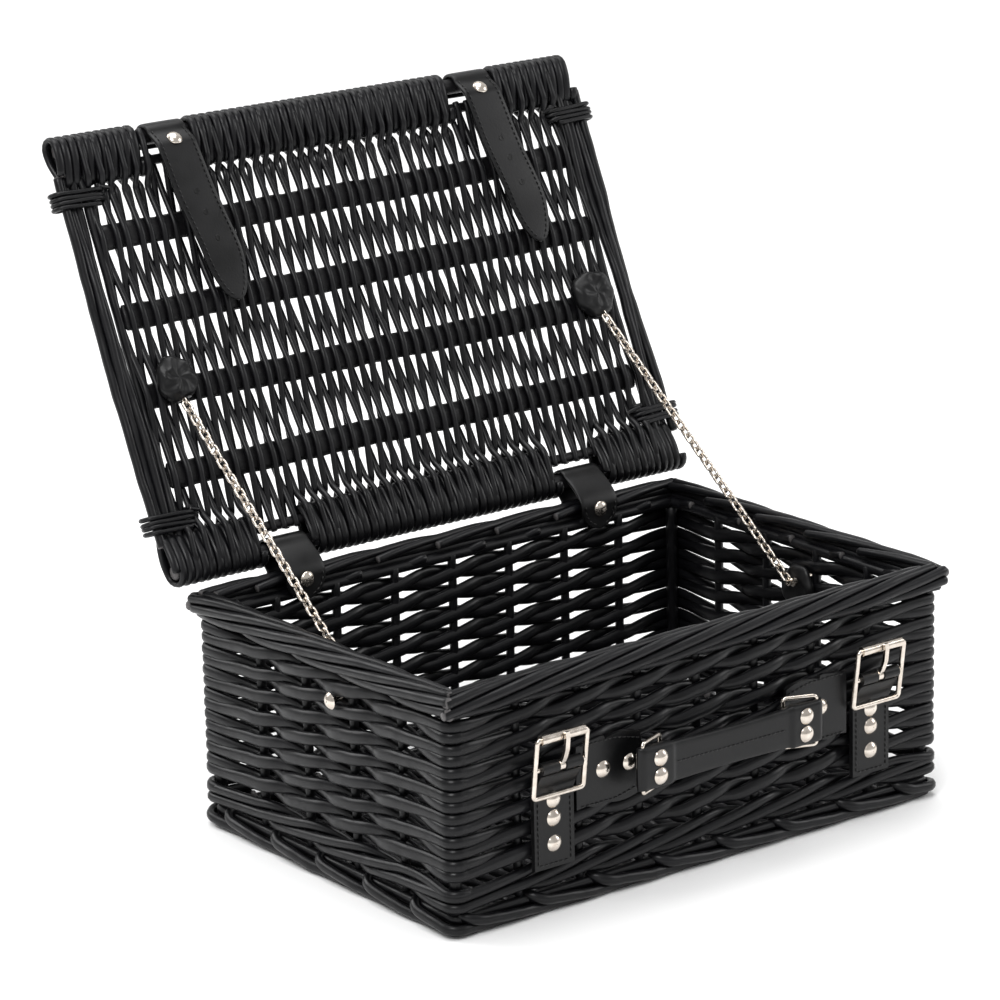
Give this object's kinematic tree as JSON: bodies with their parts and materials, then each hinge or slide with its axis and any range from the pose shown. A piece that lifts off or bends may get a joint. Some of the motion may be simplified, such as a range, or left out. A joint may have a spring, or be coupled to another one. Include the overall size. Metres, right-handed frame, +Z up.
{
  "type": "wicker picnic basket",
  "caption": "Rectangular wicker picnic basket with a hinged lid held open by stay chains, leather closing straps with buckles and a leather carrying handle.",
  "frame": {"origin": "centre of the footprint on the surface it stands on", "axes": "+Z up, -Y towards the front wall with the handle, +X to the basket's right side seen from the front"},
  "size_m": [0.38, 0.3845, 0.383],
  "materials": {
    "willow": "black stained willow with a satin lacquer",
    "leather": "satin black",
    "nickel": "polished nickel plate"
  },
  "bodies": {
    "basket": {"base_weave": "willow", "base_sticks": "willow", "foot_border": "willow", "waling": "willow", "wall_front": "willow", "wall_back": "willow", "wall_left": "willow", "wall_right": "willow", "stakes": "willow", "corner_posts": "willow", "rim_border": "willow", "hinge_tab_left": "leather", "hinge_tab_right": "leather", "hinge_tab_rivets": "nickel", "wall_patches": "leather", "wall_chain_studs": "nickel", "chape_left": "leather", "chape_right": "leather", "chape_rivets": "nickel", "anchor_left": "leather", "anchor_right": "leather", "anchor_rivets": "nickel"},
    "lid": {"lid_weave": "willow", "lid_front_sticks": "willow", "lid_back_sticks": "willow", "lid_cross_sticks": "willow", "lid_front_wrap": "willow", "lid_back_wrap": "willow", "lid_rods_left": "willow", "lid_rods_right": "willow", "lid_bindings": "willow", "lid_patches": "leather", "lid_chain_eyes": "nickel", "hinge_loop_left": "leather", "hinge_loop_right": "leather"},
    "strap_left": {"closing_strap_left": "leather", "strap_rivet_left": "nickel"},
    "buckle_left": {"buckle_frame_left": "nickel"},
    "prong_left": {"buckle_prong_left": "nickel"},
    "roller_left": {"buckle_roller_left": "nickel"},
    "ring_left": {"handle_ring_left": "nickel"},
    "grip_left": {"handle_half_left": "leather", "handle_rivets_left": "nickel"},
    "chain_upper_left": {"chain_left_upper": "nickel"},
    "chain_middle_left": {"chain_left_middle": "nickel"},
    "chain_lower_left": {"chain_left_lower": "nickel"},
    "strap_right": {"closing_strap_right": "leather", "strap_rivet_right": "nickel"},
    "buckle_right": {"buckle_frame_right": "nickel"},
    "prong_right": {"buckle_prong_right": "nickel"},
    "roller_right": {"buckle_roller_right": "nickel"},
    "ring_right": {"handle_ring_right": "nickel"},
    "grip_right": {"handle_half_right": "leather", "handle_rivets_right": "nickel"},
    "chain_upper_right": {"chain_right_upper": "nickel"},
    "chain_middle_right": {"chain_right_middle": "nickel"},
    "chain_lower_right": {"chain_right_lower": "nickel"}
  },
  "joints": [
    {"name": "lid_hinge", "type": "hinge", "parent": "basket", "child": "lid", "pos_m": [0, 0.1236, 0.1465], "axis": [1, 0, 0], "range_deg": [0, 115]},
    {"name": "strap_hang_left", "type": "hinge", "parent": "lid", "child": "strap_left", "pos_m": [-0.11, 0.23359, 0.37503], "axis": [-1, 0, 0], "range_deg": [0, 90.1]},
    {"name": "strap_hang_right", "type": "hinge", "parent": "lid", "child": "strap_right", "pos_m": [0.117, 0.23359, 0.37503], "axis": [-1, 0, 0], "range_deg": [0, 90.1]},
    {"name": "chain_top_left", "type": "hinge", "parent": "lid", "child": "chain_upper_left", "pos_m": [-0.152, 0.15612, 0.23847], "axis": [1, 0, 0], "range_deg": [0, 27.6]},
    {"name": "chain_fold_left", "type": "hinge", "parent": "chain_upper_left", "child": "chain_middle_left", "pos_m": [-0.15268, 0.09917, 0.19428], "axis": [-1, 0, 0], "range_deg": [0, 94.6]},
    {"name": "chain_bend_left", "type": "hinge", "parent": "chain_middle_left", "child": "chain_lower_left", "pos_m": [-0.15298, 0.07352, 0.17437], "axis": [-1, 0, 0], "range_deg": [0, 87.44], "deforming": ["chain_left_lower"]},
    {"name": "chain_top_right", "type": "hinge", "parent": "lid", "child": "chain_upper_right", "pos_m": [0.152, 0.15612, 0.23847], "axis": [1, 0, 0], "range_deg": [0, 27.6]},
    {"name": "chain_fold_right", "type": "hinge", "parent": "chain_upper_right", "child": "chain_middle_right", "pos_m": [0.15268, 0.09917, 0.19428], "axis": [-1, 0, 0], "range_deg": [0, 94.6]},
    {"name": "chain_bend_right", "type": "hinge", "parent": "chain_middle_right", "child": "chain_lower_right", "pos_m": [0.15298, 0.07352, 0.17437], "axis": [-1, 0, 0], "range_deg": [0, 87.44], "deforming": ["chain_right_lower"]},
    {"name": "buckle_tip_left", "type": "hinge", "parent": "basket", "child": "buckle_left", "pos_m": [-0.1085, -0.1295, 0.088], "axis": [1, 0, 0], "range_deg": [-14, 0]},
    {"name": "prong_swing_left", "type": "hinge", "parent": "buckle_left", "child": "prong_left", "pos_m": [-0.1085, -0.1295, 0.088], "axis": [-1, 0, 0], "range_deg": [-85, 0]},
    {"name": "roller_spin_left", "type": "hinge", "parent": "buckle_left", "child": "roller_left", "pos_m": [-0.1085, -0.13194, 0.10533], "axis": [1, 0, 0], "continuous": true},
    {"name": "buckle_tip_right", "type": "hinge", "parent": "basket", "child": "buckle_right", "pos_m": [0.1185, -0.1295, 0.088], "axis": [1, 0, 0], "range_deg": [-14, 0]},
    {"name": "prong_swing_right", "type": "hinge", "parent": "buckle_right", "child": "prong_right", "pos_m": [0.1185, -0.1295, 0.088], "axis": [-1, 0, 0], "range_deg": [-85, 0]},
    {"name": "roller_spin_right", "type": "hinge", "parent": "buckle_right", "child": "roller_right", "pos_m": [0.1185, -0.13194, 0.10533], "axis": [1, 0, 0], "continuous": true},
    {"name": "handle_lift", "type": "hinge", "parent": "basket", "child": "ring_left", "pos_m": [-0.04, -0.129, 0.0753], "axis": [0, 0, -1], "range_deg": [-60, 0]},
    {"name": "handle_end_left", "type": "hinge", "parent": "ring_left", "child": "grip_left", "pos_m": [-0.058, -0.1365, 0.0753], "axis": [0, 0, 1], "range_deg": [-101.5, 0]},
    {"name": "handle_bow", "type": "hinge", "parent": "grip_left", "child": "grip_right", "pos_m": [0.004, -0.1365, 0.0753], "axis": [0, 0, -1], "range_deg": [-82.91, 0]},
    {"name": "ring_swing_right", "type": "hinge", "parent": "basket", "child": "ring_right", "pos_m": [0.048, -0.129, 0.0753], "axis": [0, 0, 1], "range_deg": [-60.1, 0]}
  ],
  "couplings": [
    {"joint": "strap_hang_left", "follows": "lid_hinge", "ratio": 0.78261},
    {"joint": "strap_hang_right", "follows": "lid_hinge", "ratio": 0.78261},
    {"joint": "chain_top_left", "follows": "lid_hinge", "ratio": 0.23915},
    {"joint": "chain_fold_left", "follows": "lid_hinge", "ratio": 0.82176},
    {"joint": "chain_bend_left", "follows": "lid_hinge", "ratio": 0.75952},
    {"joint": "chain_top_right", "follows": "lid_hinge", "ratio": 0.23915},
    {"joint": "chain_fold_right", "follows": "lid_hinge", "ratio": 0.82176},
    {"joint": "chain_bend_right", "follows": "lid_hinge", "ratio": 0.75952},
    {"joint": "handle_end_left", "follows": "handle_lift", "ratio": 1.69},
    {"joint": "handle_bow", "follows": "handle_lift", "ratio": 1.3801},
    {"joint": "ring_swing_right", "follows": "handle_lift", "ratio": 1}
  ]
}
